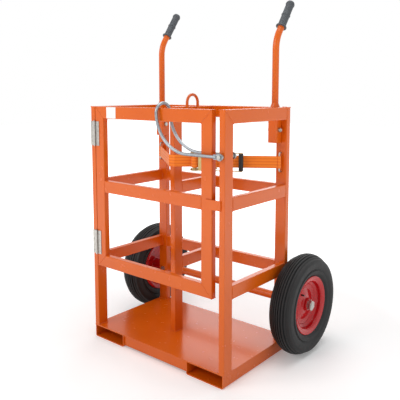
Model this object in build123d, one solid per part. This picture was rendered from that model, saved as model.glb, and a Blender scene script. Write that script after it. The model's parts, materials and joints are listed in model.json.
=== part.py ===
from build123d import *
import math
import os

# Cylinder cart: a welded cage of rectangular tube on a forkable deck, with a hinged gate,
# a swing-over latch bail, a ratchet strap, two push handles and two pneumatic wheels.
# X runs to the right as seen from the gate, Y runs back from the gate, Z is up from the ground.

# ---- overall sizes, mm ----
cage_width = 715
cage_depth = 435
cage_height = 960
base_height = 55
deck_thickness = 5

# ---- rectangular tube ----
tube_face = 50
tube_thin = 25
tube_wall = 2
tube_corner = 3
mid_rail_drop = 338
low_rail_rise = 297
rail_centres = {"mid": cage_height - mid_rail_drop, "low": low_rail_rise}
post_x = -38.5
post_front_y = 160

# ---- base ----
pocket_width = 178
pocket_wall = 4
pocket_inset = 3
skirt_drop = 42
skirt_setback = 6

# ---- gate ----
gate_left_gap = 2.5
gate_right_gap = 32.5
gate_bottom = 272
hinge_heights = (376, 846)
hinge_length = 102
hinge_leaf = 26
hinge_plate = 2.5
knuckle_radius = 5
pin_radius = 3
knuckle_gap = 0.6
screw_radius = 4
label_size = (56, 46)
label_thickness = 0.6
label_x = -230
tab_height = 36
tab_thickness = 5

# ---- latch bail ----
bail_radius = 6
bail_pivot_drop = 164
bail_bend = 150
bail_left_x = 42
bail_spacer = 11
bail_eye_thickness = 5
bail_eye_radius = 13
bail_bolt_radius = 5

# ---- handles ----
socket_size = 40
socket_wall = 3
socket_drop = 143
handle_radius = 13.5
handle_straight = 228
handle_bend = 120
handle_lean = 35
handle_tip = 152
grip_length = 128
grip_radius = 16.5
grip_flange_radius = 22
handle_bolt_drop = 91

# ---- lifting lug ----
lug_radius = 6
lug_span = 68
lug_centre_y = 269
lug_rise = 49
lug_weld_length = 44

# ---- wheels ----
tyre_radius = 206
tyre_width = 96
bead_radius = 100
rim_flange_radius = 118
rim_sheet = 3
wheel_offset = 62.5
axle_y = 456
axle_radius = 12.5
axle_clearance = 0.05
hub_radius = 24
valve_offset = 58
valve_length = 34
valve_radius = 3.2
beam_radius = 17
bracket_plate = 8
axle_bolt_radius = 6
axle_bolt_rise = 4
axle_bolt_depth = 3.5
washer_radius = 19
nut_size = 36

# ---- ratchet strap ----
strap_drop = 222
strap_width = 50
strap_thickness = 3
spool_radius = 7
winding_radius = 17
spool_from_post = 86
ratchet_plate = 2.5
ratchet_frame_length = 92
ratchet_handle_length = 196
ratchet_opening = 58
ratchet_wheel_radius = 21
ratchet_grip_radius = 9.5
anchor_radius = 3.5
anchor_reach = 14
anchor_height = 78
frame_bar_x = 86
frame_bar_radius = 4
ratchet_handle_rest = 6
pin_clearance = 0.1
spool_stub = 9
wheel_plate = 3
pawl_length = 30
fit_gap = 0.3

# ---- worked out ----
half_width = cage_width / 2
wheel_centre_x = half_width + wheel_offset
top_z = base_height + cage_height
rear_face_y = cage_depth - tube_thin
inner_x = half_width - tube_thin
rear_inner_x = half_width - tube_face
axle_z = tyre_radius
pieces = {}


def keep(name, *solids):
    """Put solids in a node; like pieces given the same name share it."""
    pieces.setdefault(name, []).extend(solids)


def block(low, high):
    size = [b - a for a, b in zip(low, high)]
    centre = [(a + b) / 2 for a, b in zip(low, high)]
    return Pos(*centre) * Box(*size)


def rod(start, end, radius):
    start, end = Vector(*start), Vector(*end)
    plane = Plane(origin=start, z_dir=end - start)
    return Solid.make_cylinder(radius, (end - start).length, plane)


def tube(low, high, axis):
    """Rectangular tube that fills the box from low to high and is open along the axis."""
    size = [b - a for a, b in zip(low, high)]
    centre = [(a + b) / 2 for a, b in zip(low, high)]
    turn = {"X": Rot(0, 90, 0), "Y": Rot(-90, 0, 0), "Z": Rot(0, 0, 0)}[axis]
    across = {"X": (size[2], size[1]), "Y": (size[0], size[2]), "Z": (size[0], size[1])}[axis]
    length = size["XYZ".index(axis)]
    outer = RectangleRounded(across[0], across[1], tube_corner)
    bore = RectangleRounded(across[0] - 2 * tube_wall, across[1] - 2 * tube_wall, tube_corner - tube_wall)
    return Pos(*centre) * turn * Pos(0, 0, -length / 2) * extrude(outer - bore, length)


def cut_beyond(solid, point, normal):
    """Take away what lies past a plane, as a saw does at a mitre."""
    return split(solid, bisect_by=Plane(origin=point, z_dir=normal), keep=Keep.BOTTOM)


def hexagon(start, end, across_flats):
    start, end = Vector(*start), Vector(*end)
    plane = Plane(origin=start, z_dir=end - start)
    return extrude(plane * RegularPolygon(across_flats / math.sqrt(3), 6), (end - start).length)


def sweep_rod(points, radii, radius):
    path = FilletPolyline(*points, radius=radii)
    start = Plane(origin=path @ 0, z_dir=path % 0)
    return sweep(start * Circle(radius), path=path)


# ---- base: deck, two fork pockets and the skirts between them ----
def make_base():
    deck_bottom = base_height - deck_thickness
    keep("deck_plate", block((-half_width, 0, deck_bottom), (half_width, cage_depth, base_height)))
    outer = half_width - pocket_inset
    for side in (-1, 1):
        centre_x = side * (outer - pocket_width / 2)
        shell = RectangleRounded(pocket_width, deck_bottom * 2, 8)
        hollow = Rectangle(pocket_width - 2 * pocket_wall, 2 * (deck_bottom - pocket_wall))
        upper_half = Pos(0, deck_bottom) * Rectangle(2 * pocket_width, 2 * deck_bottom)
        channel = (shell - hollow) - upper_half
        section = Plane(origin=(centre_x, cage_depth, deck_bottom), x_dir=(1, 0, 0), z_dir=(0, -1, 0))
        keep("fork_pockets", extrude(section * channel, cage_depth))
    reach = outer - pocket_width
    low_z = deck_bottom - skirt_drop
    for y in (skirt_setback, cage_depth - skirt_setback - pocket_wall):
        keep("base_skirts", block((-reach, y, low_z), (reach, y + pocket_wall, deck_bottom)))


# ---- cage: posts and rails, with mitred top corners ----
def make_cage():
    low_top = top_z - tube_face
    for side, name in ((-1, "left"), (1, "right")):
        xs = sorted((side * half_width, side * inner_x))
        post = tube((xs[0], 0, base_height), (xs[1], tube_face, top_z), "Z")
        keep("front_post_" + name, cut_beyond(post, (0, 0, top_z), (0, 1, 1)))
        rail = tube((xs[0], 0, low_top), (xs[1], rear_face_y, top_z), "Y")
        keep("side_top_rails", cut_beyond(rail, (0, 0, top_z), (0, -1, -1)))
        for level, height in rail_centres.items():
            z = base_height + height
            low = (xs[0], tube_face, z - tube_face / 2)
            keep(f"side_{level}_rails", tube(low, (xs[1], rear_face_y, z + tube_face / 2), "Y"))
        xs = sorted((side * half_width, side * rear_inner_x))
        post = tube((xs[0], rear_face_y, base_height), (xs[1], cage_depth, top_z), "Z")
        post = cut_beyond(post, (side * half_width, 0, top_z), (-side, 0, 1))
        keep("rear_post_" + name, post - axle_bolt_hole(side))
    rail = tube((-half_width, rear_face_y, low_top), (half_width, cage_depth, top_z), "X")
    for side in (-1, 1):
        rail = cut_beyond(rail, (side * half_width, 0, top_z), (side, 0, -1))
    keep("back_top_rail", rail)
    for level, height in rail_centres.items():
        z = base_height + height
        low = (-rear_inner_x, rear_face_y, z - tube_face / 2)
        keep("back_lower_rails", tube(low, (rear_inner_x, cage_depth, z + tube_face / 2), "X"))


# ---- divider: the centre post, its rails back to the rear frame, and the lifting lug ----
def make_divider():
    xs = (post_x - tube_thin / 2, post_x + tube_thin / 2)
    post = tube((xs[0], post_front_y, base_height), (xs[1], post_front_y + tube_face, top_z), "Z")
    keep("centre_post", cut_beyond(post, (0, post_front_y, top_z), (0, 1, 1)))
    rail = tube((xs[0], post_front_y, top_z - tube_face), (xs[1], rear_face_y, top_z), "Y")
    keep("divider_top_rail", cut_beyond(rail, (0, post_front_y, top_z), (0, -1, -1)))
    for level, height in rail_centres.items():
        z = base_height + height
        low = (xs[0], post_front_y + tube_face, z - tube_face / 2)
        keep("divider_lower_rails", tube(low, (xs[1], rear_face_y, z + tube_face / 2), "Y"))
    x = xs[1] + lug_radius
    foot = top_z - lug_weld_length
    crown = top_z + lug_rise
    front, back = lug_centre_y - lug_span / 2, lug_centre_y + lug_span / 2
    points = [(x, front, foot), (x, front, crown), (x, back, crown), (x, back, foot)]
    bend = lug_span / 2 - 0.5
    keep("lifting_lug", sweep_rod(points, bend, lug_radius))


# ---- handles: square sockets in the rear corners, bent tubes, rubber grips, through bolts ----
def handle_path(x, y, start, end_trim):
    lean = math.radians(handle_lean)
    knee = handle_bend * math.tan(lean / 2)
    corner_z = top_z + handle_straight + knee
    run = knee + handle_tip - end_trim
    tip = (x, y + run * math.sin(lean), corner_z + run * math.cos(lean))
    return [(x, y, start), (x, y, corner_z), tip]


def make_handles():
    corner_x = inner_x - socket_size / 2
    corner_y = rear_face_y - socket_size / 2
    bottom = top_z - socket_drop
    bolt_z = top_z - handle_bolt_drop
    lean = math.radians(handle_lean)
    along = Vector(0, math.sin(lean), math.cos(lean))
    bolts, nuts = [], []
    for side in (-1, 1):
        x = side * corner_x
        box = RectangleRounded(socket_size, socket_size, 4)
        bore = RectangleRounded(socket_size - 2 * socket_wall, socket_size - 2 * socket_wall, 1)
        socket = Pos(x, corner_y, bottom) * extrude(box - bore, socket_drop)
        half = socket_size / 2
        start, end = (x - half - 12, corner_y, bolt_z), (x + half + 12, corner_y, bolt_z)
        hole = rod(start, end, 5)
        keep("handle_sockets", socket - hole)
        path = handle_path(x, corner_y, bottom + 6, 0)
        pipe = sweep_rod(path, handle_bend, handle_radius)
        bore = sweep_rod(handle_path(x, corner_y, bottom + 5, -1), handle_bend, handle_radius - 2.6)
        flare = Pos(x, corner_y, top_z + 8) * Cone(19.5, handle_radius, 16)
        core = rod((x, corner_y, top_z - 1), (x, corner_y, top_z + 17), handle_radius - 1)
        keep("handle_tubes", (pipe + (flare - core)) - bore - hole)
        tip = Vector(*path[2])
        foot = tip - along * (grip_length - 4)
        shape = rod(foot, tip + along * 4, grip_radius)
        shape += rod(foot, foot + along * 5, grip_flange_radius)
        for place in (0.46, 0.9):
            ring = foot + along * (grip_length * place)
            shape += rod(ring, ring + along * 4, grip_radius + 1.6)
        keep("handle_grips", shape - rod(foot - along, tip, handle_radius))
        inner = (x - side * half, corner_y, bolt_z)
        outer = (x + side * half, corner_y, bolt_z)
        head_end = (x - side * (half + 7), corner_y, bolt_z)
        shank_end = (x + side * (half + 12), corner_y, bolt_z)
        bolts.append(rod(inner, shank_end, 4.9) + hexagon(inner, head_end, 16))
        nut = hexagon(outer, (x + side * (half + 8), corner_y, bolt_z), 16)
        nuts.append(nut - rod(inner, shank_end, 4.9))
    keep("handle_bolts", *bolts)
    keep("handle_bolt_nuts", *nuts)


# ---- axle: a tube on two bolted brackets, with a solid bar through it ----
def axle_bolt_line(side):
    x = side * (half_width - tube_face / 2)
    z = axle_z + axle_bolt_rise
    return (x, rear_face_y, z), (x, cage_depth + axle_bolt_depth, z)


def axle_bolt_hole(side):
    front, back = axle_bolt_line(side)
    return rod((front[0], front[1] - 1, front[2]), back, axle_bolt_radius)


def make_axle():
    beam_end = half_width + 3
    outer = rod((-beam_end, axle_y, axle_z), (beam_end, axle_y, axle_z), beam_radius)
    bar_end = wheel_centre_x + 45
    bar = rod((-bar_end, axle_y, axle_z), (bar_end, axle_y, axle_z), axle_radius)
    keep("axle_tube", outer - bar)
    pins, washers, nuts, bolts = [], [], [], []
    for side in (-1, 1):
        low_x, high_x = sorted((side * (half_width - tube_face), side * half_width))
        plate_back = cage_depth + bracket_plate
        plate = block((low_x, cage_depth, axle_z - 42), (high_x, plate_back, axle_z + 42))
        cheek_back = axle_y + beam_radius - 4
        for x in (low_x, high_x - 6):
            plate += block((x, plate_back, axle_z - 26), (x + 6, cheek_back, axle_z + 26))
        keep("axle_brackets", plate - outer - axle_bolt_hole(side))
        front, back = axle_bolt_line(side)
        head = hexagon(front, (front[0], front[1] - 8, front[2]), 19)
        bolts.append(rod(front, back, axle_bolt_radius) + head)
        washer_x = side * (wheel_centre_x + 28)
        washer = rod((washer_x, axle_y, axle_z), (washer_x + side * 3, axle_y, axle_z), washer_radius)
        washers.append(washer - bar)
        face = washer_x + side * 3
        nut = hexagon((face, axle_y, axle_z), (face + side * 12, axle_y, axle_z), nut_size)
        pin_x = face + side * 7
        hole = rod((pin_x, axle_y, axle_z - 24), (pin_x, axle_y, axle_z + 24), 1.6)
        nuts.append(nut - bar - hole)
        pins.append(hole)
        bar -= hole
    keep("axle_bar", bar)
    keep("axle_bolts", *bolts)
    keep("wheel_washers", *washers)
    keep("wheel_nuts", *nuts)
    keep("split_pins", *pins)


# ---- wheels: tyre, dished rim, hub tube and valve ----
def wheel_piece(points, side):
    """Turn a half section, given as (distance outwards from the wheel centre, radius), into a ring."""
    outline = Polyline(*[(r, side * x) for x, r in points], close=True)
    section = Plane(origin=(side * wheel_centre_x, axle_y, axle_z), x_dir=(0, 0, 1), z_dir=(0, -1, 0))
    face = section * make_face(outline)
    return revolve(face, Axis((side * wheel_centre_x, axle_y, axle_z), (1, 0, 0)), 360)


def tyre_section():
    half = tyre_width / 2
    crown = tyre_radius
    mid = (tyre_radius + bead_radius) / 2
    return [(-30, bead_radius), (-34, bead_radius + 14), (-half + 3, mid - 14), (-half, mid + 6),
            (-half + 4, crown - 24), (-half + 14, crown - 9), (-half + 26, crown - 2.5), (-12, crown),
            (12, crown), (half - 26, crown - 2.5), (half - 14, crown - 9), (half - 4, crown - 24),
            (half, mid + 6), (half - 3, mid - 14), (34, bead_radius + 14), (30, bead_radius),
            (22, bead_radius + 8), (half - 14, mid), (half - 17, crown - 26), (0, crown - 14),
            (-half + 17, crown - 26), (-half + 14, mid), (-22, bead_radius + 8)]


def rim_section():
    f, s, b = rim_flange_radius, rim_sheet, bead_radius
    outer = [(-36, f), (-30, b), (-14, b), (-10, b - 14), (6, b - 14), (12, b), (30, b), (36, f)]
    inner = [(36 + s, f), (32, b - s), (13, b - s), (8, b - 14 - s), (4, 58), (14, 34), (14, hub_radius)]
    back = [(14 - s, hub_radius), (14 - s, 33), (4 - s, 58), (2, b - 14 - s), (-12, b - 14 - s)]
    return outer + inner + back + [(-16, b - s), (-32, b - s), (-36 - s, f)]


def make_wheels():
    for side, name in ((-1, "left"), (1, "right")):
        keep("tyre_" + name, wheel_piece(tyre_section(), side))
        disc = wheel_piece(rim_section(), side)
        start = (side * (wheel_centre_x - 38), axle_y, axle_z)
        end = (side * (wheel_centre_x + 28 - fit_gap), axle_y, axle_z)
        bore = rod(start, end, axle_radius + axle_clearance)
        base = Vector(side * (wheel_centre_x + 4), axle_y - valve_offset, axle_z + valve_offset)
        stem = rod(base, base + Vector(side * valve_length, 0, 0), valve_radius)
        keep("rim_" + name, disc + (rod(start, end, hub_radius) - bore) - stem)
        keep("valve_" + name, stem)


# ---- gate: mitred frame, middle rail, stop tab, label plate, butt hinges ----
def make_gate():
    low_x = -half_width + tube_thin + gate_left_gap
    high_x = half_width - tube_thin - gate_right_gap
    low_z = base_height + gate_bottom
    stile = tube((low_x, 0, low_z), (low_x + tube_face, tube_thin, top_z), "Z")
    stile = cut_beyond(stile, (low_x, 0, top_z), (1, 0, 1))
    keep("gate_hinge_stile", cut_beyond(stile, (low_x, 0, low_z), (1, 0, -1)))
    stile = tube((high_x - tube_face, 0, low_z), (high_x, tube_thin, top_z), "Z")
    stile = cut_beyond(stile, (high_x, 0, top_z), (-1, 0, 1))
    keep("gate_latch_stile", cut_beyond(stile, (high_x, 0, low_z), (-1, 0, -1)))
    for name, z, edge, up in (("top", top_z - tube_face, top_z, 1), ("bottom", low_z, low_z, -1)):
        rail = tube((low_x, 0, z), (high_x, tube_thin, z + tube_face), "X")
        rail = cut_beyond(rail, (low_x, 0, edge), (-1, 0, -up))
        keep(f"gate_{name}_rail", cut_beyond(rail, (high_x, 0, edge), (1, 0, -up)))
    z = base_height + rail_centres["mid"] - tube_face / 2
    mid = tube((low_x + tube_face, 0, z), (high_x - tube_face, tube_thin, z + tube_face), "X")
    keep("gate_mid_rail", mid)
    tab_low = z + (tube_face - tab_height) / 2
    tab_start = high_x - tube_thin
    tab_end = half_width - tube_thin + 10
    tab = block((tab_start, -tab_thickness, tab_low), (tab_end, 0, tab_low + tab_height))
    keep("gate_stop_tab", tab)
    wide, tall = label_size
    label_low = top_z - (tube_face + tall) / 2
    label = block((label_x - wide / 2, -label_thickness, label_low),
                  (label_x + wide / 2, 0, label_low + tall))
    keep("gate_label", label)


def make_hinges():
    pin_x = -half_width + tube_thin + gate_left_gap / 2
    pin_y = -knuckle_radius
    span = hinge_length / 5
    post_parts, gate_parts, pins, post_screws, gate_screws = [], [], [], [], []
    for height in hinge_heights:
        low = base_height + height - hinge_length / 2
        pin = rod((pin_x, pin_y, low - 3), (pin_x, pin_y, low + hinge_length + 3), pin_radius)
        pins.append(pin + rod((pin_x, pin_y, low + hinge_length + 0.5),
                              (pin_x, pin_y, low + hinge_length + 3), knuckle_radius))
        for side, parts, wanted in ((-1, post_parts, (0, 2, 4)), (1, gate_parts, (1, 3))):
            edge = pin_x + side * (knuckle_radius + 0.4)
            xs = sorted((edge, pin_x + side * hinge_leaf))
            leaf = block((xs[0], -hinge_plate, low), (xs[1], 0, low + hinge_length))
            for index in wanted:
                z = low + index * span
                knuckle = rod((pin_x, pin_y, z + knuckle_gap / 2),
                              (pin_x, pin_y, z + span - knuckle_gap / 2), knuckle_radius)
                web = block((min(edge, pin_x), -hinge_plate, z + knuckle_gap / 2),
                            (max(edge, pin_x), 0, z + span - knuckle_gap / 2))
                leaf += knuckle + web
            clear = 0 if side < 0 else 0.1
            bore = rod((pin_x, pin_y, low - 1), (pin_x, pin_y, low + hinge_length + 1),
                       pin_radius + clear)
            leaf -= bore
            for index in range(4):
                z = low + hinge_length * (0.14 + 0.24 * index)
                x = pin_x + side * (hinge_leaf - 7 - 7 * (index % 2))
                head = rod((x, -hinge_plate, z), (x, -hinge_plate - 1.2, z), screw_radius)
                (post_screws if side < 0 else gate_screws).append(head)
            parts.append(leaf)
    keep("hinge_post_leaves", *post_parts)
    keep("hinge_gate_leaves", *gate_parts)
    keep("hinge_pins", *pins)
    keep("hinge_post_screws", *post_screws)
    keep("hinge_gate_screws", *gate_screws)


# ---- latch bail: a bent bar that drops over the gate's top rail ----
def make_bail():
    x = half_width - tube_thin / 2
    z = top_z - bail_pivot_drop
    front = -bail_spacer - bail_eye_thickness / 2
    back = tube_face + bail_spacer + bail_eye_thickness / 2
    crown_bend = (back - front) / 2 - 0.5
    inside = crown_bend - bail_radius - fit_gap
    reach = (back + front) / 2
    crown = top_z - math.sqrt(inside ** 2 - reach ** 2) + crown_bend
    leg_end = x - bail_eye_radius
    points = [(leg_end, front, z), (bail_left_x, front, z), (bail_left_x, front, crown),
              (bail_left_x, back, crown), (bail_left_x, back, z), (leg_end, back, z)]
    bar = sweep_rod(points, [bail_bend, crown_bend, crown_bend, bail_bend], bail_radius)
    for y in (front, back):
        half = bail_eye_thickness / 2
        eye = rod((x, y - half, z), (x, y + half, z), bail_eye_radius)
        eye += block((x - 2 * bail_eye_radius, y - half, z - 9), (x, y + half, z + 9))
        bar += eye - rod((x, y - half, z), (x, y + half, z), bail_bolt_radius + 0.1)
    keep("latch_bail", bar)
    far = back + bail_eye_thickness / 2
    near = front - bail_eye_thickness / 2
    bolt = rod((x, near - 0.4, z), (x, far + 11, z), bail_bolt_radius)
    bolt += rod((x, near - 0.4, z), (x, near - 4.4, z), 8)
    keep("bail_bolt", bolt)
    nut = hexagon((x, far + 0.4, z), (x, far + 8, z), 17)
    keep("bail_nut", nut - bolt)
    rings = []
    for low, high in ((-bail_spacer + 0.2, 0), (tube_face, tube_face + bail_spacer - 0.2)):
        rings.append(rod((x, low, z), (x, high, z), 9) - bolt)
    keep("bail_spacers", *rings)
    hole = rod((x, -1, z), (x, tube_face + 1, z), bail_bolt_radius)
    pieces["front_post_right"] = [pieces["front_post_right"][0] - hole]


# ---- ratchet strap: anchors on the rear posts, webbing round the centre post, ratchet ----
def band(points, z):
    """Flat webbing that stands on edge and follows a route seen from above."""
    strip = offset(Polyline(*points), strap_thickness / 2, kind=Kind.INTERSECTION, side=Side.BOTH)
    return Pos(0, 0, z - strap_width / 2) * extrude(make_face(strip.edges()), strap_width)


def eye(x, y, z, bar):
    """The sewn loop that webbing makes round an upright bar."""
    low, high = (x, y, z - strap_width / 2), (x, y, z + strap_width / 2)
    return rod(low, high, bar + fit_gap + strap_thickness) - rod(low, high, bar + fit_gap)


def make_ratchet_frame(place, half):
    frame = Pos(frame_bar_x, 0, 0) * Cylinder(frame_bar_radius, 2 * half)
    for s in (-1, 1):
        z = s * (half + ratchet_plate / 2)
        frame += Pos(ratchet_frame_length / 2, 0, z) * Box(ratchet_frame_length, 24, ratchet_plate)
        frame += Pos(0, 0, z) * Cylinder(17, ratchet_plate)
    keep("ratchet_frame", place * (frame - Cylinder(spool_radius + pin_clearance, 4 * half)))


def make_ratchet_spool(place, half):
    keep("ratchet_spool", place * Cylinder(spool_radius, 2 * half + 2 * spool_stub))
    wound = Cylinder(winding_radius, strap_width + 2) - Cylinder(spool_radius, 2 * half)
    keep("spool_winding", place * wound)
    root = ratchet_wheel_radius - 4
    for s in (-1, 1):
        wheel = Cylinder(root, wheel_plate)
        for index in range(13):
            wheel += Rot(0, 0, index * 360 / 13) * Pos(root, 0, 0) * Box(8, 4, wheel_plate)
        wheel -= Cylinder(spool_radius, 2 * wheel_plate)
        z = s * (half + ratchet_plate + 0.5 + wheel_plate / 2)
        keep("ratchet_wheels", place * Pos(0, 0, z) * wheel)


def make_ratchet_handle(place, half):
    inner = half + ratchet_plate + wheel_plate + 1.4
    grip_x = ratchet_handle_length - 6
    arm = Pos(grip_x, 0, 0) * Cylinder(4, 2 * inner)
    for s in (-1, 1):
        z = s * (inner + ratchet_plate / 2)
        arm += Pos(ratchet_handle_length / 2, 0, z) * Box(ratchet_handle_length, 20, ratchet_plate)
        arm += Pos(0, 0, z) * Cylinder(17, ratchet_plate)
    keep("ratchet_handle", place * (arm - Cylinder(spool_radius + pin_clearance, 4 * half)))
    grip = Cylinder(ratchet_grip_radius, 2 * inner - 2) - Cylinder(4, 2 * inner)
    keep("ratchet_grip", place * Pos(grip_x, 0, 0) * grip)
    reach = ratchet_wheel_radius + 1
    pawl_y = -(spool_radius + 8.5)
    start = math.sqrt(reach ** 2 - (pawl_y + 1.5) ** 2)
    pawl = Pos(start + pawl_length / 2, pawl_y, 0) * Box(pawl_length, 3, 2 * inner - 1)
    keep("ratchet_pawl", place * pawl)


def make_strap():
    z = top_z - strap_drop
    front = post_front_y - strap_thickness / 2 - fit_gap
    left_x = post_x - tube_thin / 2 - strap_thickness / 2 - fit_gap
    right_x = post_x + tube_thin / 2 + strap_thickness / 2 + fit_gap
    anchor_x = half_width - tube_face / 2
    anchor_y = rear_face_y - anchor_reach
    heading = math.atan2(anchor_y - front, anchor_x - right_x)
    go = Vector(math.cos(heading), math.sin(heading), 0)
    spool = Vector(right_x, front, z) + go * spool_from_post
    place = Pos(*spool) * Rot(0, 0, math.degrees(heading))
    half = ratchet_opening / 2
    hold = anchor_radius + fit_gap + strap_thickness
    left_go = (Vector(left_x, front, 0) - Vector(-anchor_x, anchor_y, 0)).normalized()
    left_end = Vector(-anchor_x, anchor_y, 0) + left_go * hold
    stop = spool - go * (winding_radius + fit_gap + strap_thickness / 2)
    route = [(left_end.X, left_end.Y), (left_x, front), (right_x, front), (stop.X, stop.Y)]
    keep("webbing_front", band(route, z) + eye(-anchor_x, anchor_y, z, anchor_radius))
    bar = spool + go * frame_bar_x
    start = bar + go * (frame_bar_radius + fit_gap + strap_thickness)
    end = Vector(anchor_x, anchor_y, 0) - go * hold
    rear = band([(start.X, start.Y), (end.X, end.Y)], z)
    rear += eye(bar.X, bar.Y, z, frame_bar_radius) + eye(anchor_x, anchor_y, z, anchor_radius)
    keep("webbing_rear", rear)
    make_ratchet_frame(place, half)
    make_ratchet_spool(place, half)
    make_ratchet_handle(place * Rot(0, 0, -ratchet_handle_rest), half)
    for side in (-1, 1):
        x = side * anchor_x
        low, high = z - anchor_height / 2, z + anchor_height / 2
        points = [(x, rear_face_y, low), (x, anchor_y, low), (x, anchor_y, high), (x, rear_face_y, high)]
        keep("anchor_rings", sweep_rod(points, 8, anchor_radius))
    print("ratchet spool at", spool, "heading", round(math.degrees(heading), 4))


make_base()
make_cage()
make_divider()
make_handles()
make_axle()
make_wheels()
make_gate()
make_hinges()
make_bail()
make_strap()

# The origin goes to the middle of the whole cart's footprint, on the ground.
every_solid = [solid for group in pieces.values() for shape in group for solid in shape.solids()]
whole = Compound(children=every_solid)
box = whole.bounding_box()
shift = Pos(0, -(box.min.Y + box.max.Y) / 2, 0)
os.makedirs("parts", exist_ok=True)
for node, shapes in pieces.items():
    solids = [shift * solid for shape in shapes for solid in shape.solids()]
    export_step(solids[0] if len(solids) == 1 else Compound(children=solids), f"parts/{node}.step")
print("origin lies", round((box.min.Y + box.max.Y) / 2, 3), "mm behind the gate's front face")
print(len(pieces), "nodes; box", box.min, box.max)
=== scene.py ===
# %% [markdown]
# # A gas cylinder cart, finished for the camera
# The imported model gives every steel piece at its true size. This lesson adds what a cart has beyond its
# shapes: gloss powder coat, weld beads, ribbed tyres, woven webbing and zinc plating. All lengths are in
# metres and the places of the pieces are taken from the frame.

# %% Load the frame
import json
import math

import bmesh
import bpy
import numpy as np
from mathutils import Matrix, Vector


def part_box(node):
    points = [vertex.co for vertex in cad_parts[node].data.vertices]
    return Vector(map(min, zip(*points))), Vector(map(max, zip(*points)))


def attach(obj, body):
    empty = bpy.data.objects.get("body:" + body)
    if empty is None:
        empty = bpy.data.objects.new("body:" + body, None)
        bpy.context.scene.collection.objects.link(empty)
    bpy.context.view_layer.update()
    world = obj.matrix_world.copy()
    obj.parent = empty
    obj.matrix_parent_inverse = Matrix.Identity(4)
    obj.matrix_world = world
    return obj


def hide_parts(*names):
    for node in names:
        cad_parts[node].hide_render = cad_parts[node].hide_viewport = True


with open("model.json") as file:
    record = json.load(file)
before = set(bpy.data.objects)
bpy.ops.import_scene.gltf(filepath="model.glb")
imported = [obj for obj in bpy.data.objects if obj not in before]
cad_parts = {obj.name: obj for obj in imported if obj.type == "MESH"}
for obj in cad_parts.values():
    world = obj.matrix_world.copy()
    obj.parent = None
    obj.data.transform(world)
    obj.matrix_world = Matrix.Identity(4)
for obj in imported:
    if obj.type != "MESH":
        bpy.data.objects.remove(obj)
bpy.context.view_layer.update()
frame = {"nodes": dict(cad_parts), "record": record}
nodes = frame["nodes"]
seed = 7

# %% [markdown]
# ## Camera
# The cart is seen from its right front corner at chest height. A small downward lens shift keeps the posts
# close to upright while the whole cart stays in the frame.

# %% Camera
camera_place = (1.5117, -1.8377, 1.0809)
camera_turn = 39.842
camera_dip = 6.401
lens = 49.95

view_data = bpy.data.cameras.new("camera")
view_data.lens = lens
view_data.shift_y = -0.118
camera = bpy.data.objects.new("camera", view_data)
camera.location = camera_place
camera.rotation_euler = (math.radians(90 - camera_dip), 0, math.radians(camera_turn))
bpy.context.scene.collection.objects.link(camera)
bpy.context.scene.camera = camera

# %% [markdown]
# ## Shader sums as plain Python
# A finish is mostly arithmetic on noise. One small class wraps a socket so that a mask can be written as
# a sum, and one method makes any other node.


# %% Socket class
class Value:
    """A number that varies over a surface, held as a node socket."""

    def __init__(self, maker, socket):
        self.maker = maker
        self.socket = socket

    def sum_with(self, other, operation, swap=False):
        terms = (other, self) if swap else (self, other)
        return self.maker.node("ShaderNodeMath", {"operation": operation}, {0: terms[0], 1: terms[1]})

    def __add__(self, other):
        return self.sum_with(other, "ADD")

    __radd__ = __add__

    def __sub__(self, other):
        return self.sum_with(other, "SUBTRACT")

    def __rsub__(self, other):
        return self.sum_with(other, "SUBTRACT", swap=True)

    def __mul__(self, other):
        return self.sum_with(other, "MULTIPLY")

    __rmul__ = __mul__

    def sine(self):
        return self.maker.node("ShaderNodeMath", {"operation": "SINE"}, {0: self})


class Finish:
    """A material and the few calls that build its nodes."""

    def __init__(self, name, **fixed):
        self.material = bpy.data.materials.new(name)
        self.material.use_nodes = True
        self.tree = self.material.node_tree
        self.shader = self.tree.nodes["Principled BSDF"]
        for socket, number in fixed.items():
            self.shader.inputs[socket.replace("_", " ")].default_value = number

    def node(self, kind, settings=None, inputs=None, output=0):
        made = self.tree.nodes.new(kind)
        for key, value in (settings or {}).items():
            setattr(made, key, value)
        for key, value in (inputs or {}).items():
            self.feed(made.inputs[key], value)
        return Value(self, made.outputs[output])

    def feed(self, socket, value):
        if isinstance(value, Value):
            self.tree.links.new(value.socket, socket)
        else:
            socket.default_value = value

    def place(self):
        return self.node("ShaderNodeTexCoord", output="Object")

    def route(self):
        return self.node("ShaderNodeUVMap", {"uv_map": "weave"})

    def noise(self, scale, detail=3.0, where=None):
        inputs = {"Vector": where or self.place(), "Scale": scale, "Detail": detail}
        return self.node("ShaderNodeTexNoise", inputs=inputs, output=0)

    def part(self, vector, axis):
        return self.node("ShaderNodeSeparateXYZ", inputs={0: vector}, output=axis)

    def blend(self, share, first, second):
        inputs = {"Factor": share, 6: (*first, 1), 7: (*second, 1)}
        return self.node("ShaderNodeMix", {"data_type": "RGBA"}, inputs, output=2)

    def bump(self, height, depth, strength=1.0):
        inputs = {"Height": height, "Distance": depth, "Strength": strength}
        self.set("Normal", self.node("ShaderNodeBump", inputs=inputs))

    def set(self, name, value):
        self.feed(self.shader.inputs[name], value)


def srgb(code):
    """Turn a paint chip's hex code into the linear colour that a shader takes."""
    parts = [int(code[i:i + 2], 16) / 255 for i in (0, 2, 4)]
    return tuple(p / 12.92 if p <= 0.04045 else ((p + 0.055) / 1.055) ** 2.4 for p in parts)


# %% [markdown]
# ## Finishes
# Powder coat is thick and glossy with a faint orange peel. Its colour wanders a little where the coat is
# thinner. Zinc and galvanised steel are mottled, rubber is dull with dust in it, and webbing is woven.


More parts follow.
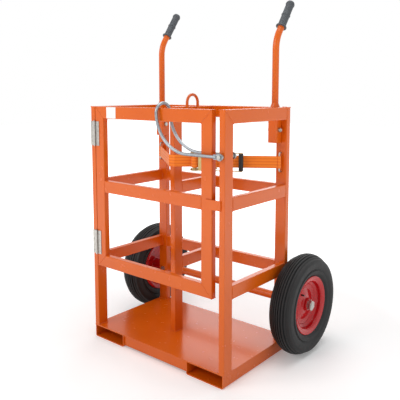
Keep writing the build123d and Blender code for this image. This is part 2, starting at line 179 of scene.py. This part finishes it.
# %% Paint
def paint(name, thin, full, peel=900, rough=0.26):
    finish = Finish(name, Coat_Weight=0.1, Coat_Roughness=0.08, Specular_IOR_Level=0.32)
    cloud = finish.noise(7, 4)
    finish.set("Base Color", finish.blend(cloud, srgb(thin), srgb(full)))
    finish.set("Roughness", finish.noise(35) * 0.08 + (rough - 0.04))
    finish.bump(finish.noise(peel, 1), 0.00006, 0.15)
    return finish.material


def bare_metal(name, dark, light, scale=120, rough=0.3, metal=1.0):
    finish = Finish(name, Metallic=metal)
    mottle = finish.noise(scale, 5)
    finish.set("Base Color", finish.blend(mottle, srgb(dark), srgb(light)))
    finish.set("Roughness", finish.noise(scale * 2.5) * 0.25 + (rough - 0.1))
    finish.bump(finish.noise(scale * 6, 2), 0.0003, 0.25)
    return finish.material


def rubber(name, dark, light, rough=0.55, grain=700):
    finish = Finish(name, Specular_IOR_Level=0.4)
    finish.set("Base Color", finish.blend(finish.noise(18, 6), srgb(dark), srgb(light)))
    finish.set("Roughness", finish.noise(60) * 0.2 + (rough - 0.1))
    finish.bump(finish.noise(grain, 2), 0.0003, 0.5)
    return finish.material


orange_paint = paint("orange_powder_coat", "cc5504", "da6408")
red_paint = paint("red_rim_paint", "a80c12", "c4141a", rough=0.2)
galvanised = bare_metal("galvanised_bar", "70767b", "a9aeb2", scale=160, rough=0.34)
zinc = bare_metal("zinc_plate", "8f8b86", "c9c6c0", rough=0.34)
yellow_zinc = bare_metal("yellow_zinc", "9c8346", "cdb98a", rough=0.3)
tyre_rubber = rubber("tyre_rubber", "0b0b0c", "151516", rough=0.62)
grip_rubber = rubber("grip_rubber", "3c3f43", "54585c", rough=0.6)
black_rubber = rubber("black_rubber", "0c0c0d", "1a1a1b", rough=0.45)
label_film = Finish("label_film", Roughness=0.5)
label_film.set("Base Color", label_film.blend(label_film.noise(90), srgb("e2e2e0"), srgb("f2f2f0")))
print("made", len(bpy.data.materials), "finishes")

# %% [markdown]
# Webbing needs a weave that follows the strap, so the strap carries its own map in metres: along its run
# and across its width. Two waves out of step make the twill ribs, and a slow wave gives the edge stripes.
# The colour also follows the ribs and is deep in their low parts, which is painted shade in the weave's
# grooves.


# %% Webbing finish
def woven(name, deep, bright):
    finish = Finish(name, Specular_IOR_Level=0.25, Sheen_Weight=0.2)
    along = finish.part(finish.route(), 0)
    across = finish.part(finish.route(), 1)
    rib = (across * 1600).sine() * 0.5 + 0.5
    pick = (along * 1900 + across * 900).sine() * 0.5 + 0.5
    weave = rib * 0.6 + pick * 0.4
    # Half of this colour mask is the weave's relief, so its low parts get the deep colour as painted shade in
    # the grooves; the other half is the woven stripe pattern.
    stripe_and_groove_shade = ((across * 520).sine() * 0.5 + 0.5) * 0.5 + weave * 0.5
    finish.set("Base Color", finish.blend(stripe_and_groove_shade, srgb(deep), srgb(bright)))
    finish.set("Roughness", finish.noise(300) * 0.15 + 0.62)
    finish.bump(weave, 0.0005, 0.8)
    return finish.material


webbing = woven("orange_webbing", "dc5f14", "ff962c")

# %% [markdown]
# ## Dress the steel
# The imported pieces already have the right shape, so each one only needs its finish.

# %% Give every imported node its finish
by_slot = {"orange_paint": orange_paint, "red_paint": red_paint, "tyre_rubber": tyre_rubber,
           "grip_rubber": grip_rubber, "orange_webbing": webbing, "galvanised_steel": galvanised,
           "zinc_steel": zinc, "yellow_zinc": yellow_zinc, "white_label": label_film.material}
for entry in frame["record"]["subparts"]:
    mesh = nodes[entry["node"]].data
    mesh.materials.clear()
    mesh.materials.append(by_slot[entry["material_slot"]])
nodes["ratchet_grip"].data.materials[0] = black_rubber
for side in ("left", "right"):
    nodes["valve_" + side].data.materials[0] = black_rubber


# %% Mesh helpers
def piece_from(name, points, faces, material, body, smooth=True):
    mesh = bpy.data.meshes.new(name)
    mesh.from_pydata([tuple(p) for p in points], [], faces)
    mesh.materials.append(material)
    made = bpy.data.objects.new(name, mesh)
    bpy.context.scene.collection.objects.link(made)
    shape = bmesh.new()
    shape.from_mesh(mesh)
    bmesh.ops.remove_doubles(shape, verts=shape.verts, dist=1e-6)
    bmesh.ops.recalc_face_normals(shape, faces=shape.faces)
    shape.to_mesh(mesh)
    shape.free()
    if smooth:
        mesh.shade_smooth()
        mesh.set_sharp_from_angle(angle=math.radians(38))
    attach(made, body)
    return made


def rounded(profile, radius, steps=5):
    """Round every corner of a closed half section given as (across, out from the axle)."""
    smooth = []
    count = len(profile)
    for index in range(count):
        before = Vector(profile[index - 1])
        here = Vector(profile[index])
        after = Vector(profile[(index + 1) % count])
        reach = min(radius, (before - here).length * 0.45, (after - here).length * 0.45)
        start = here + (before - here).normalized() * reach
        end = here + (after - here).normalized() * reach
        for step in range(steps + 1):
            t = step / steps
            smooth.append(start * (1 - t) ** 2 + here * 2 * t * (1 - t) + end * t ** 2)
    return smooth


def turned(name, profile, centre, axis_x, material, body, segments=128):
    """Turn a closed half section about a line along X, as a lathe does."""
    points, faces = [], []
    count = len(profile)
    for step in range(segments):
        angle = 2 * math.pi * step / segments
        for across, out in profile:
            points.append((centre.x + axis_x * across, centre.y + out * math.cos(angle),
                           centre.z + out * math.sin(angle)))
    for step in range(segments):
        ahead = (step + 1) % segments
        for index in range(count):
            beside = (index + 1) % count
            faces.append((step * count + index, step * count + beside,
                          ahead * count + beside, ahead * count + index))
    return piece_from(name, points, faces, material, body)


# %% [markdown]
# ## Tyres
# A barrow tyre has straight circumferential ribs. The tread's section is drawn as a row of lands and
# grooves on a crowned line, then the shoulder and a sidewall with two fine moulding rings, and turned.

# %% Tyre section
def tyre_profile(outer, half, bead):
    """Half section of the tyre; the tread's grooves step in from the crown line."""
    ribs, groove, depth = 7, 0.0032, 0.0042
    tread = half * 0.74
    section = []

    def crown(x):
        return outer - 0.0145 * (abs(x) / tread) ** 2.2

    width = 2 * tread / ribs
    for index in range(ribs):
        left = -tread + index * width
        right = left + width
        lip = 0.0006
        section.append((left + groove / 2, crown(left) - (depth if index else 0.0)))
        section.append((left + groove / 2 + lip, crown(left + groove)))
        section.append(((left + right) / 2, crown((left + right) / 2)))
        section.append((right - groove / 2 - lip, crown(right - groove)))
        section.append((right - groove / 2, crown(right) - (depth if index < ribs - 1 else 0.0)))
    wall = []
    top = crown(tread)
    for step in range(1, 22):
        t = step / 22
        out = top + (bead + 0.016 - top) * t
        bulge = half * (0.76 + 0.24 * math.sin(math.pi * min(1, t * 1.25 + 0.12)) ** 0.7)
        if t > 0.62:
            bulge = half * (1.0 - 0.36 * ((t - 0.62) / 0.38) ** 1.6) * 0.985
        ring = 0.0012 if step in (4, 5, 17, 18) else 0
        wall.append((min(bulge + ring, half), out))
    inner = [(half * 0.6, bead + 0.004), (half * 0.5, bead)]
    right_side = wall + inner
    left_side = [(-x, out) for x, out in reversed(right_side)]
    return left_side + section + right_side


for side, out in (("left", -1), ("right", 1)):
    low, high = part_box("tyre_" + side)
    centre = (low + high) / 2
    half = (high.x - low.x) / 2
    outer = (high.z - low.z) / 2
    profile = tyre_profile(outer, half, 0.1)
    tyre = turned("tyre_ribbed_" + side, profile, centre, out, tyre_rubber, "wheel_" + side,
                  144)
    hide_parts("tyre_" + side)
print("tyre faces", len(tyre.data.polygons))

# %% [markdown]
# ## Rims
# Each rim is pressed sheet: a rolled flange, a bead seat, a drop centre and a deep dish that meets the hub
# tube. The dish is a smooth curve, so its section is rounded before it is turned.

# %% Rims
rim_outer = [(0.039, 0.118), (0.036, 0.121), (0.0325, 0.118), (0.030, 0.1005), (0.012, 0.0995),
             (0.006, 0.086), (-0.010, 0.086), (-0.014, 0.0995), (-0.030, 0.1005), (-0.0325, 0.118),
             (-0.036, 0.121), (-0.039, 0.118), (-0.034, 0.097), (-0.016, 0.096), (-0.012, 0.082),
             (0.001, 0.082), (-0.001, 0.064), (0.008, 0.034), (0.0095, 0.0236)]
hub_part = [(-0.037, 0.0236), (-0.038, 0.0222), (-0.038, 0.0127), (0.0276, 0.0127), (0.0276, 0.0222),
            (0.0262, 0.0236), (0.014, 0.0240), (0.012, 0.036), (0.003, 0.064), (0.0065, 0.082),
            (0.009, 0.0835), (0.0145, 0.096), (0.032, 0.097)]
for side, out in (("left", -1), ("right", 1)):
    low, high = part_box("rim_" + side)
    centre = (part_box("tyre_" + side)[0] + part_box("tyre_" + side)[1]) / 2
    section = rounded(rim_outer + hub_part, 0.0055, 4)
    rim = turned("rim_pressed_" + side, section, centre, out, red_paint, "wheel_" + side, 112)
    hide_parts("rim_" + side)

# %% [markdown]
# ## Grips
# The hand grips are moulded rubber with a guard flange, shallow finger rings and a rounded cap. They lean
# with the tubes, so each is turned about the leaning line between its flange and its tip.


# %% Grips
def ring_stack(name, start, along, profile, material, body, segments=48):
    """Turn an open profile of (distance along, radius) about any line; both ends close on the line."""
    along = along.normalized()
    side = along.orthogonal().normalized()
    other = along.cross(side)
    points, faces = [], []
    for distance, radius in profile:
        for step in range(segments):
            angle = 2 * math.pi * step / segments
            out = side * math.cos(angle) + other * math.sin(angle)
            points.append(start + along * distance + out * radius)
    for ring in range(len(profile) - 1):
        for step in range(segments):
            ahead = (step + 1) % segments
            faces.append((ring * segments + step, ring * segments + ahead,
                          (ring + 1) * segments + ahead, (ring + 1) * segments + step))
    faces.append(tuple(range(segments)))
    faces.append(tuple((len(profile) - 1) * segments + step for step in range(segments)))
    return piece_from(name, points, faces, material, body)


lean = math.radians(35)
grip_line = Vector((0, math.sin(lean), math.cos(lean)))
low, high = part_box("handle_grips")
grip_length = 0.132
tip_y = high.y - 0.0165 * math.cos(lean)
tip_z = high.z - 0.0165 * math.sin(lean)


def grip_profile(length):
    """Guard flange, finger rings, collar and a rounded cap."""
    profile = [(0, 0.0160), (0.0003, 0.0205), (0.0022, 0.0220), (0.0048, 0.0214), (0.0062, 0.0172)]
    for index in range(26):
        t = 0.010 + index * 0.0018
        profile.append((t, 0.0163 - 0.0007 * (index % 2)))
    profile += [(0.058, 0.0164), (0.0592, 0.0180), (0.0636, 0.0180), (0.065, 0.0163)]
    for index in range(24):
        profile.append((0.069 + index * 0.0018, 0.0163 - 0.0007 * (index % 2)))
    profile += [(0.114, 0.0164), (0.1152, 0.0181), (0.1198, 0.0181), (0.121, 0.0164)]
    for step in range(1, 7):
        angle = step / 6 * math.pi / 2
        profile.append((0.121 + (length - 0.121) * math.sin(angle), 0.0164 * math.cos(angle) ** 0.6 + 0.0004))
    return profile


for side, x in (("left", low.x + 0.022), ("right", high.x - 0.022)):
    tip = Vector((x, tip_y, tip_z))
    start = tip - grip_line * grip_length
    grip = ring_stack("grip_moulded_" + side, start, grip_line, grip_profile(grip_length), grip_rubber,
                      "cart")
    if side == "left":
        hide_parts("handle_grips")

# %% [markdown]
# ## Webbing
# The strap stands on edge and is pulled flat, so it is modelled directly as a closed band with a true
# thickness. It carries a map in metres for the weave.


# %% Webbing bands
def band(name, route, middle_z, width, thickness, body, edge_rows=4):
    """Closed flat band that follows a route seen from above and stands on edge."""
    count = len(route)
    points, faces, run = [], [], [0.0]
    for index in range(1, count):
        run.append(run[-1] + (Vector(route[index]) - Vector(route[index - 1])).length)
    ring = []
    for row in range(edge_rows + 1):
        ring.append((-0.5, row / edge_rows - 0.5))
    for row in range(edge_rows, -1, -1):
        ring.append((0.5, row / edge_rows - 0.5))
    size = len(ring)
    for index in range(count):
        before = Vector(route[max(index - 1, 0)])
        after = Vector(route[min(index + 1, count - 1)])
        along = (after - before).normalized()
        side = Vector((-along.y, along.x))
        for depth, height in ring:
            inset = 0.75 if abs(height) > 0.49 else 1.0
            spot = Vector(route[index]) + side * depth * thickness * inset
            points.append((spot.x, spot.y, middle_z + height * width))
    for index in range(count - 1):
        for step in range(size):
            ahead = (step + 1) % size
            faces.append((index * size + step, index * size + ahead,
                          (index + 1) * size + ahead, (index + 1) * size + step))
    faces.append(tuple(range(size)))
    faces.append(tuple((count - 1) * size + step for step in range(size)))
    made = piece_from(name, points, faces, webbing, body)
    marks = made.data.uv_layers.new(name="weave")
    line = np.array([tuple(p) for p in route])
    lengths = np.array(run)
    for loop in made.data.loops:
        place = made.data.vertices[loop.vertex_index].co
        nearest = int(np.argmin(((line - [place.x, place.y]) ** 2).sum(1)))
        marks.data[loop.index].uv = (lengths[nearest], place.z)
    return made


def resample(route, step):
    """Add points along straight runs so that the weave and the bends stay even."""
    fine = []
    for start, end in zip(route, route[1:]):
        start, end = Vector(start), Vector(end)
        pieces_here = max(1, round((end - start).length / step))
        fine += [tuple(start.lerp(end, part / pieces_here)) for part in range(pieces_here)]
    return fine + [tuple(route[-1])]


def arc(centre, radius, start, end, steps):
    return [(centre[0] + radius * math.cos(a), centre[1] + radius * math.sin(a))
            for a in np.linspace(start, end, steps)]


spool_low, spool_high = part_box("ratchet_spool")
spool = (spool_low + spool_high) / 2
ring_low, ring_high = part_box("anchor_rings")
post_low, post_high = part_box("centre_post")
left_ring = Vector((ring_low.x + 0.0035, ring_low.y + 0.0035))
right_ring = Vector((ring_high.x - 0.0035, ring_low.y + 0.0035))
strap_z = spool.z
strap_width = 0.05
strap_thick = 0.0026
loop_radius = 0.0055
heading = (right_ring - Vector((spool.x, spool.y))).normalized()
lead = math.atan2(heading.y, heading.x)
front_y = post_low.y - 0.0018
near = (post_low.x - 0.0018, front_y)
far = (post_high.x + 0.0012, front_y)
wound = 0.0168
left_in = (Vector(near) - left_ring).normalized()
left_angle = math.atan2(left_in.y, left_in.x)
roll_inset = 0.0014
roll_core = 0.0088
roll_thick = 0.0022
outer_turn = wound - roll_inset
hub = Vector((spool.x, spool.y))
away = Vector(far) - hub
meet = math.atan2(away.y, away.x) - math.acos(outer_turn / away.length)
stop = hub + Vector((math.cos(meet), math.sin(meet))) * outer_turn
front_route = resample([left_ring + left_in * loop_radius * 1.2, near, far, stop], 0.006)
front_band = band("webbing_front_run", [tuple(p) for p in front_route], strap_z, strap_width, strap_thick,
                  "cart")
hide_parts("webbing_front")

bar_reach = 0.086
bar = hub + heading * bar_reach
rear_start = bar + heading * 0.0062
rear_end = right_ring - heading * 0.0066
rear_route = resample([rear_start, rear_end], 0.006)
rear_band = band("webbing_rear_run", [tuple(p) for p in rear_route], strap_z, strap_width, strap_thick,
                 "cart")
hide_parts("webbing_rear")
slack = 0.45
for title, hub_point, radius, facing in (("left", left_ring, loop_radius, left_angle),
                                         ("right", right_ring, loop_radius, lead + math.pi),
                                         ("bar", bar, 0.006, lead)):
    around = arc(hub_point, radius, facing + slack, facing + 2 * math.pi - slack, 20)
    band(f"webbing_{title}_loop", around, strap_z, strap_width, strap_thick, "cart")

turns = 2.9
spiral = []
for step in range(150):
    t = step / 149
    angle = meet - turns * 2 * math.pi * (1 - t)
    radius = roll_core + (outer_turn - roll_core) * t
    spiral.append((spool.x + radius * math.cos(angle), spool.y + radius * math.sin(angle)))
roll = band("webbing_roll", spiral, strap_z, strap_width, roll_thick, "spool")
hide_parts("spool_winding")
print("strap width", strap_width, "rear run", round((rear_end - rear_start).length, 3))

# %% [markdown]
# ## Weld beads
# Every joint of the cage is seam welded. A bead is a row of small overlapping ripples, so the tree below
# spreads points along each seam and sets one flattened ball on each. Its spacing and size are inputs.


# %% Bead tree
def bead_tree(material):
    tree = bpy.data.node_groups.new("weld_beads", "GeometryNodeTree")
    sockets = tree.interface
    sockets.new_socket("Geometry", in_out="INPUT", socket_type="NodeSocketGeometry")
    for title, number in (("Spacing", 0.0022), ("Size", 0.0028)):
        made = sockets.new_socket(title, in_out="INPUT", socket_type="NodeSocketFloat")
        made.default_value = number
    sockets.new_socket("Geometry", in_out="OUTPUT", socket_type="NodeSocketGeometry")
    new = tree.nodes.new
    join = tree.links.new
    source, result = new("NodeGroupInput"), new("NodeGroupOutput")
    spread = new("GeometryNodeCurveToPoints")
    spread.mode = "LENGTH"
    join(source.outputs["Geometry"], spread.inputs["Curve"])
    join(source.outputs["Spacing"], spread.inputs["Length"])
    ball = new("GeometryNodeMeshUVSphere")
    ball.inputs["Segments"].default_value = 8
    ball.inputs["Rings"].default_value = 5
    join(source.outputs["Size"], ball.inputs["Radius"])
    jitter = new("FunctionNodeRandomValue")
    jitter.data_type = "FLOAT_VECTOR"
    jitter.inputs[0].default_value = (0.85, 0.85, 0.75)
    jitter.inputs[1].default_value = (1.15, 1.15, 1.15)
    jitter.inputs["Seed"].default_value = seed
    put = new("GeometryNodeInstanceOnPoints")
    join(spread.outputs["Points"], put.inputs["Points"])
    join(ball.outputs["Mesh"], put.inputs["Instance"])
    join(spread.outputs["Rotation"], put.inputs["Rotation"])
    join(jitter.outputs[0], put.inputs["Scale"])
    whole = new("GeometryNodeRealizeInstances")
    join(put.outputs["Instances"], whole.inputs["Geometry"])
    soft = new("GeometryNodeSetShadeSmooth")
    join(whole.outputs["Geometry"], soft.inputs["Geometry"])
    skin = new("GeometryNodeSetMaterial")
    skin.inputs["Material"].default_value = material
    join(soft.outputs["Geometry"], skin.inputs["Geometry"])
    join(skin.outputs["Geometry"], result.inputs["Geometry"])
    return tree


beads = bead_tree(orange_paint)


def weld(name, seams, body, spacing=0.0028, size=0.0034):
    """Lay beads along straight seams, each a pair of end points."""
    curve = bpy.data.curves.new(name + "_path", "CURVE")
    curve.dimensions = "3D"
    for start, end in seams:
        spline = curve.splines.new("POLY")
        spline.points.add(1)
        spline.points[0].co = (*start, 1)
        spline.points[1].co = (*end, 1)
    path = bpy.data.objects.new(name + "_path", curve)
    bpy.context.scene.collection.objects.link(path)
    modifier = path.modifiers.new("beads", "NODES")
    modifier.node_group = beads
    inputs = {item.name: item.identifier for item in beads.interface.items_tree
              if item.item_type == "SOCKET" and item.in_out == "INPUT"}
    modifier[inputs["Spacing"]] = spacing
    modifier[inputs["Size"]] = size
    bpy.context.view_layer.update()
    solved = path.evaluated_get(bpy.context.evaluated_depsgraph_get())
    mesh = bpy.data.meshes.new_from_object(solved)
    mesh.name = name
    made = bpy.data.objects.new(name, mesh)
    bpy.context.scene.collection.objects.link(made)
    bpy.data.objects.remove(path)
    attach(made, body)
    print(name, "has", len(mesh.polygons), "faces on", len(seams), "seams")
    return made


# %% [markdown]
# The gate's corners are mitred on its face, its middle rail butts between the stiles, and the cage's rails
# butt on the posts. Seams are read from the boxes of the pieces that they join.

# %% Gate seams
face = 0.05
skin = 0.0004
gate_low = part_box("gate_hinge_stile")[0]
gate_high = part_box("gate_latch_stile")[1]
seams = []
for y in (gate_low.y + skin, gate_high.y - skin):
    for x, dx in ((gate_low.x, 1), (gate_high.x, -1)):
        for z, dz in ((gate_high.z, -1), (gate_low.z, 1)):
            seams.append(((x + dx * 0.001, y, z + dz * 0.001), (x + dx * face, y, z + dz * face)))
mid_low, mid_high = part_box("gate_mid_rail")
for x in (mid_low.x, mid_high.x):
    for z in (mid_low.z, mid_high.z):
        seams.append(((x, gate_low.y + 0.003, z), (x, gate_high.y - 0.003, z)))
    for y in (mid_low.y + skin, mid_high.y - skin):
        seams.append(((x, y, mid_low.z + 0.002), (x, y, mid_high.z - 0.002)))
weld("gate_welds", seams, "gate", 0.0021, 0.0017)

# %% Cage seams
seams = []
side_low, side_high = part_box("side_top_rails")
rear_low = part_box("rear_post_left")[0]
post_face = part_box("front_post_left")[1].y
for x in (side_low.x + skin, side_high.x - skin):
    out = 1 if x < 0 else -1
    inner = x + out * (0.025 - 2 * skin)
    for plane in (x, inner):
        seams.append(((plane, side_low.y + 0.001, side_high.z - 0.001),
                      (plane, side_low.y + face, side_high.z - face)))
    rails = [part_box("side_mid_rails"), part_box("side_low_rails"), (side_low, side_high)]
    for low, high in rails:
        ends = [rear_low.y] if low is side_low else [post_face, rear_low.y]
        for y in ends:
            for z in (low.z, high.z):
                seams.append(((x + out * 0.003, y, z), (inner - out * 0.003, y, z)))
            for plane in (x, inner):
                seams.append(((plane, y, low.z + 0.002), (plane, y, high.z - 0.002)))
deck_low, deck_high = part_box("deck_plate")
thin = 0.025
for node, deep in (("front_post_left", face), ("front_post_right", face), ("rear_post_left", thin),
                   ("rear_post_right", thin), ("centre_post", face)):
    low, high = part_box(node)
    corners = [(low.x, low.y), (high.x, low.y), (high.x, high.y), (low.x, high.y), (low.x, low.y)]
    for start, end in zip(corners, corners[1:]):
        inside = deck_low.x + 0.004 < (start[0] + end[0]) / 2 < deck_high.x - 0.004
        within = deck_low.y + 0.004 < (start[1] + end[1]) / 2 < deck_high.y - 0.004
        if inside and within:
            seams.append(((*start, deck_high.z + 0.0006), (*end, deck_high.z + 0.0006)))
weld("cage_welds", seams, "cart", 0.0022, 0.0021)

# %% Rear frame, divider and lug seams
seams = []
back_low, back_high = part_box("back_top_rail")
for y in (back_low.y + skin, back_high.y - skin):
    for x, dx in ((back_low.x, 1), (back_high.x, -1)):
        seams.append(((x + dx * 0.001, y, back_high.z - 0.001), (x + dx * face, y, back_high.z - face)))
lower_low, lower_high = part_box("back_lower_rails")
levels = [(lower_low.z, lower_low.z + face), (lower_high.z - face, lower_high.z)]
for x in (lower_low.x, lower_high.x):
    for bottom, top in levels:
        for z in (bottom, top):
            seams.append(((x, lower_low.y + 0.003, z), (x, lower_high.y - 0.003, z)))
        for y in (lower_low.y + skin, lower_high.y - skin):
            seams.append(((x, y, bottom + 0.002), (x, y, top - 0.002)))
for bottom, top in levels + [(back_low.z, back_high.z)]:
    ends = [rear_low.y] if top > back_low.z + 0.01 else [post_high.y, rear_low.y]
    for y in ends:
        for x in (post_low.x + skin, post_high.x - skin):
            seams.append(((x, y, bottom + 0.002), (x, y, top - 0.002)))
lug_low, lug_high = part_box("lifting_lug")
for y in (lug_low.y + 0.006, lug_high.y - 0.006):
    for offset in (-0.006, 0.006):
        seams.append(((lug_low.x + 0.001, y + offset, lug_low.z + 0.002),
                      (lug_low.x + 0.001, y + offset, back_high.z - 0.003)))
weld("rear_welds", seams, "cart", 0.0024, 0.0023)

# %% [markdown]
# ## Screws
# Four screws hold each hinge leaf. Their heads are domed with a cross recess, so one head is modelled once
# and copied to every hole by the tree.


# %% Screw heads
def screw_head():
    """A domed head with a sunken cross, facing -Y."""
    radius, rise = 0.0042, 0.0016
    shape = bmesh.new()
    rings = [(1.0, 0.0), (0.98, 0.35), (0.8, 0.72), (0.5, 0.92), (0.24, 1.0)]
    count = 24
    rows = []
    for share, lift in rings:
        row = []
        for step in range(count):
            angle = 2 * math.pi * step / count
            arm = step % 6 in (0,)
            drop = 0.55 if arm and share < 0.6 else 0.0
            row.append(shape.verts.new((radius * share * math.cos(angle), -rise * (lift - drop),
                                        radius * share * math.sin(angle))))
        rows.append(row)
    for first, second in zip(rows, rows[1:]):
        for step in range(count):
            ahead = (step + 1) % count
            shape.faces.new((first[step], first[ahead], second[ahead], second[step]))
    middle = shape.verts.new((0, -rise * 0.4, 0))
    for step in range(count):
        shape.faces.new((rows[-1][step], rows[-1][(step + 1) % count], middle))
    shape.faces.new(list(reversed(rows[0])))
    bmesh.ops.recalc_face_normals(shape, faces=shape.faces)
    mesh = bpy.data.meshes.new("screw_head")
    shape.to_mesh(mesh)
    shape.free()
    made = bpy.data.objects.new("screw_head", mesh)
    return made


def stud_tree(head, material):
    """Set one copy of a head on every point of a mesh."""
    tree = bpy.data.node_groups.new("studs", "GeometryNodeTree")
    tree.interface.new_socket("Geometry", in_out="INPUT", socket_type="NodeSocketGeometry")
    size = tree.interface.new_socket("Size", in_out="INPUT", socket_type="NodeSocketFloat")
    size.default_value = 1.0
    tree.interface.new_socket("Geometry", in_out="OUTPUT", socket_type="NodeSocketGeometry")
    new, join = tree.nodes.new, tree.links.new
    source, result = new("NodeGroupInput"), new("NodeGroupOutput")
    shape = new("GeometryNodeObjectInfo")
    shape.inputs["Object"].default_value = head
    put = new("GeometryNodeInstanceOnPoints")
    join(source.outputs["Geometry"], put.inputs["Points"])
    join(shape.outputs["Geometry"], put.inputs["Instance"])
    join(source.outputs["Size"], put.inputs["Scale"])
    whole = new("GeometryNodeRealizeInstances")
    join(put.outputs["Instances"], whole.inputs["Geometry"])
    skin_node = new("GeometryNodeSetMaterial")
    skin_node.inputs["Material"].default_value = material
    join(whole.outputs["Geometry"], skin_node.inputs["Geometry"])
    join(skin_node.outputs["Geometry"], result.inputs["Geometry"])
    return tree


def islands(node):
    """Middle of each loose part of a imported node."""
    shape = bmesh.new()
    shape.from_mesh(nodes[node].data)
    bmesh.ops.remove_doubles(shape, verts=shape.verts, dist=1e-5)
    left = set(shape.verts)
    found = []
    while left:
        stack = [left.pop()]
        group = []
        while stack:
            vert = stack.pop()
            group.append(vert.co.copy())
            for edge in vert.link_edges:
                other = edge.other_vert(vert)
                if other in left:
                    left.remove(other)
                    stack.append(other)
        low = Vector([min(p[i] for p in group) for i in range(3)])
        high = Vector([max(p[i] for p in group) for i in range(3)])
        found.append((low, high))
    shape.free()
    return sorted(found, key=lambda pair: tuple(pair[0]))


head = screw_head()
studs = stud_tree(head, zinc)
for node, body in (("hinge_post_screws", "cart"), ("hinge_gate_screws", "gate")):
    spots = [((a.x + b.x) / 2, b.y, (a.z + b.z) / 2) for a, b in islands(node)]
    mesh = bpy.data.meshes.new(node + "_spots")
    mesh.from_pydata(spots, [], [])
    holder = bpy.data.objects.new(node + "_spots", mesh)
    bpy.context.scene.collection.objects.link(holder)
    modifier = holder.modifiers.new("studs", "NODES")
    modifier.node_group = studs
    bpy.context.view_layer.update()
    solved = holder.evaluated_get(bpy.context.evaluated_depsgraph_get())
    real = bpy.data.meshes.new_from_object(solved)
    made = bpy.data.objects.new(node + "_domed", real)
    bpy.context.scene.collection.objects.link(made)
    bpy.data.objects.remove(holder)
    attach(made, body)
    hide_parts(node)
    print(node, "has", len(spots), "heads")
bpy.data.objects.remove(head)

# %% [markdown]
# ## Studio
# A pale floor, a white surround and four large soft lamps. The key lamp stands in front and to the left,
# so the gate's face is the brightest plane and the right side falls a little darker. The floor glows, faintly
# under the cart and at full white farther out. That glow also lights the cart itself.

# %% Floor, lamps and world
floor_mesh = bpy.data.meshes.new("floor")
reach = 14
floor_mesh.from_pydata([(-reach, -reach, 0), (reach, -reach, 0), (reach, reach, 0), (-reach, reach, 0)], [],
                       [(0, 1, 2, 3)])
floor = bpy.data.objects.new("floor", floor_mesh)
bpy.context.scene.collection.objects.link(floor)
pale = Finish("studio_floor", Roughness=0.9, Specular_IOR_Level=0.1)
pale.set("Base Color", pale.blend(pale.noise(2), (0.9, 0.9, 0.9), (0.93, 0.93, 0.93)))
span = pale.node("ShaderNodeVectorMath", {"operation": "LENGTH"}, {0: pale.place()}, output=1)
glow_starts, glow_full = 0.9, 2.2
faint, full = (0.18, 0.18, 0.18), (1, 1, 1)
fade = pale.node("ShaderNodeMapRange", inputs={0: span, 1: glow_starts, 2: glow_full})
pale.set("Emission Color", pale.blend(fade, faint, full))
pale.shader.inputs["Emission Strength"].default_value = 1.0
floor_mesh.materials.append(pale.material)


def lamp(name, place, target, size, power):
    data = bpy.data.lights.new(name, "AREA")
    data.shape = "RECTANGLE"
    data.size, data.size_y = size
    data.energy = power
    made = bpy.data.objects.new(name, data)
    made.location = place
    made.rotation_euler = (Vector(target) - Vector(place)).to_track_quat("-Z", "Y").to_euler()
    bpy.context.scene.collection.objects.link(made)


middle = (0, 0, 0.7)
lamp("key_lamp", (-1.4, -4.2, 3.2), middle, (3.0, 2.4), 86)
lamp("side_lamp", (4.0, -0.6, 2.2), middle, (2.4, 2.4), 12)
lamp("top_lamp", (0.2, 0.4, 4.6), middle, (4.0, 3.0), 100)
lamp("back_lamp", (-2.5, 4.0, 2.6), middle, (2.5, 2.0), 26)

world = bpy.data.worlds.new("studio_world")
world.use_nodes = True
bpy.context.scene.world = world
sky = world.node_tree
surface = sky.nodes["Background"]
surface.inputs["Strength"].default_value = 0.38
surface.inputs["Color"].default_value = (1, 1, 1, 1)
bright = sky.nodes.new("ShaderNodeBackground")
bright.inputs["Color"].default_value = (1, 1, 1, 1)
bright.inputs["Strength"].default_value = 1.0
rays = sky.nodes.new("ShaderNodeLightPath")
seen = sky.nodes.new("ShaderNodeMath")
seen.operation = "MAXIMUM"
sky.links.new(rays.outputs["Is Camera Ray"], seen.inputs[0])
sky.links.new(rays.outputs["Is Glossy Ray"], seen.inputs[1])
mixer = sky.nodes.new("ShaderNodeMixShader")
sky.links.new(seen.outputs[0], mixer.inputs[0])
sky.links.new(surface.outputs[0], mixer.inputs[1])
sky.links.new(bright.outputs[0], mixer.inputs[2])
sky.links.new(mixer.outputs[0], sky.nodes["World Output"].inputs["Surface"])
bpy.context.scene.view_settings.view_transform = "Standard"
